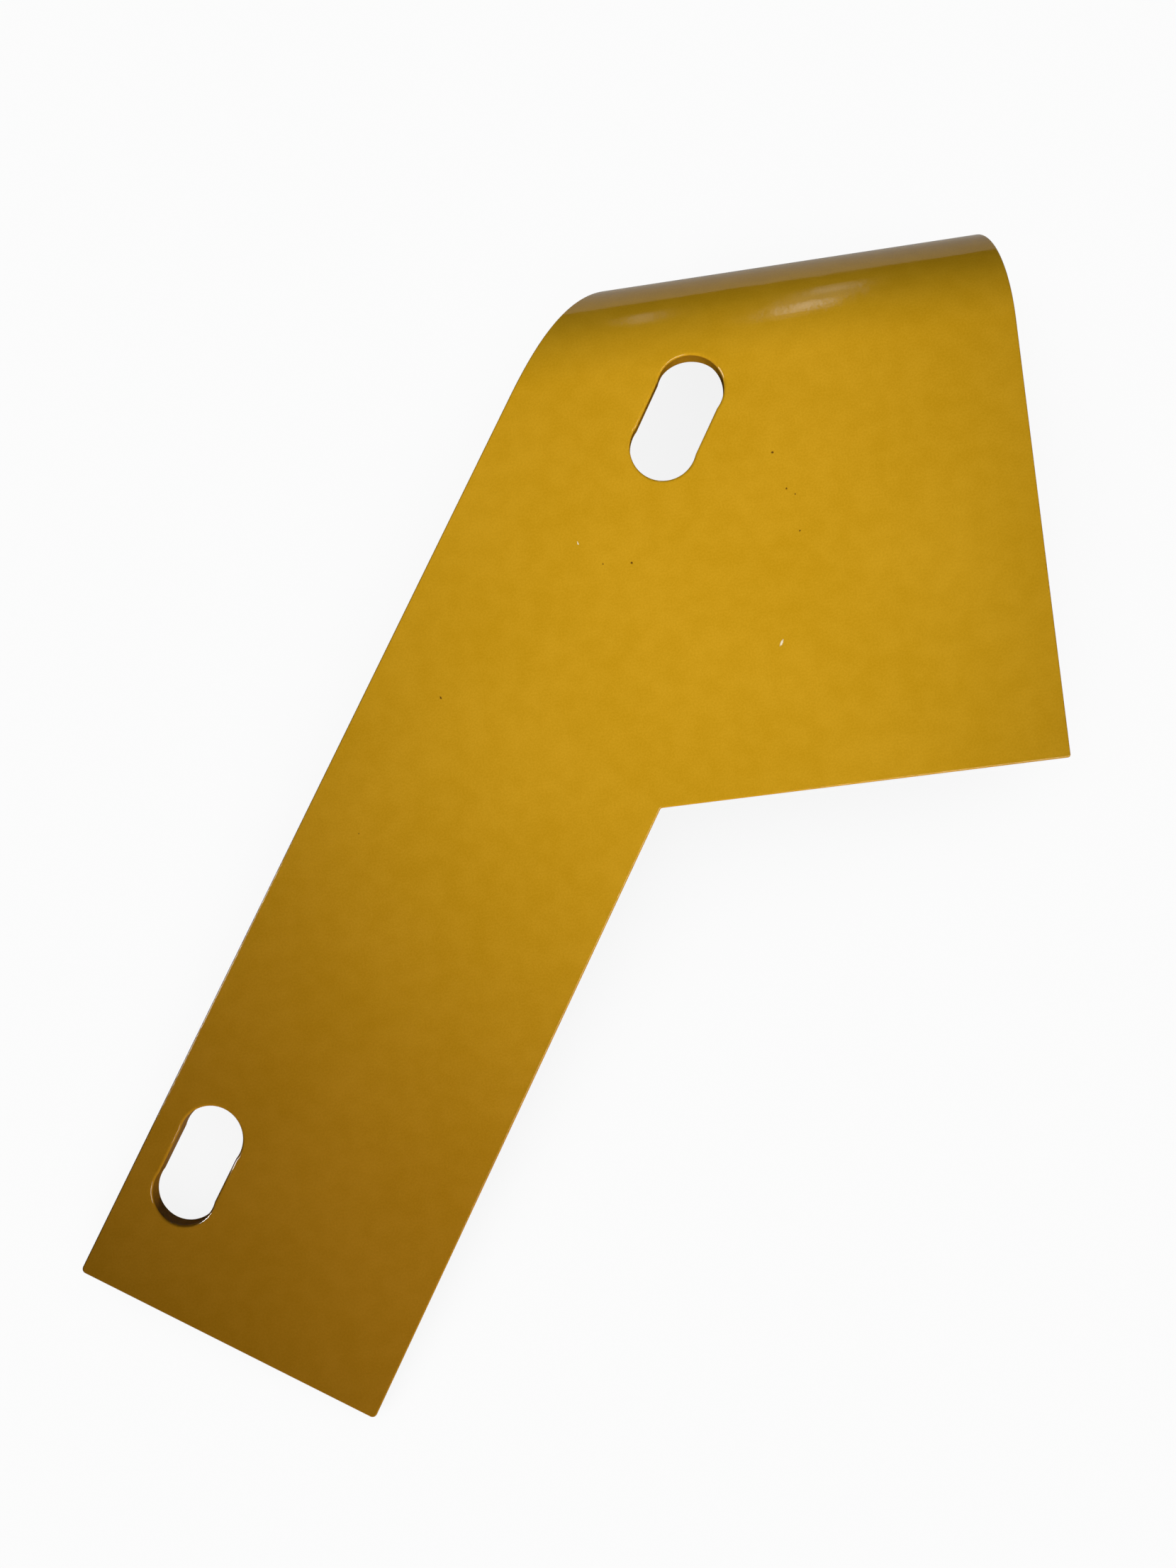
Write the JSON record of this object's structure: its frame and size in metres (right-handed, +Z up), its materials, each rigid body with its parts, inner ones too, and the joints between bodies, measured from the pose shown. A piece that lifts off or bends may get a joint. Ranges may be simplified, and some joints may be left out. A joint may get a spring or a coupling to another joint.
{
  "type": "bent mounting plate",
  "caption": "Painted sheet-steel mounting plate: wide head rolled over at one end by a large-radius right-angle bend, long slanted arm, obround bolt slots.",
  "frame": {"origin": "on the level surface that the plate rests on, under the middle of its box", "axes": "+Z up, with the plate lying on the free edge of its flange and the foot of its arm, outer face up; +X along the bend, away from the arm; +Y across the bend, from the arm's foot to the flange"},
  "size_m": [0.2286, 0.2506, 0.0365],
  "materials": {
    "ochre_paint": "gloss ochre-yellow enamel over 4 mm steel sheet"
  },
  "bodies": {
    "root": {"bent_plate": "ochre_paint"}
  },
  "joints": []
}
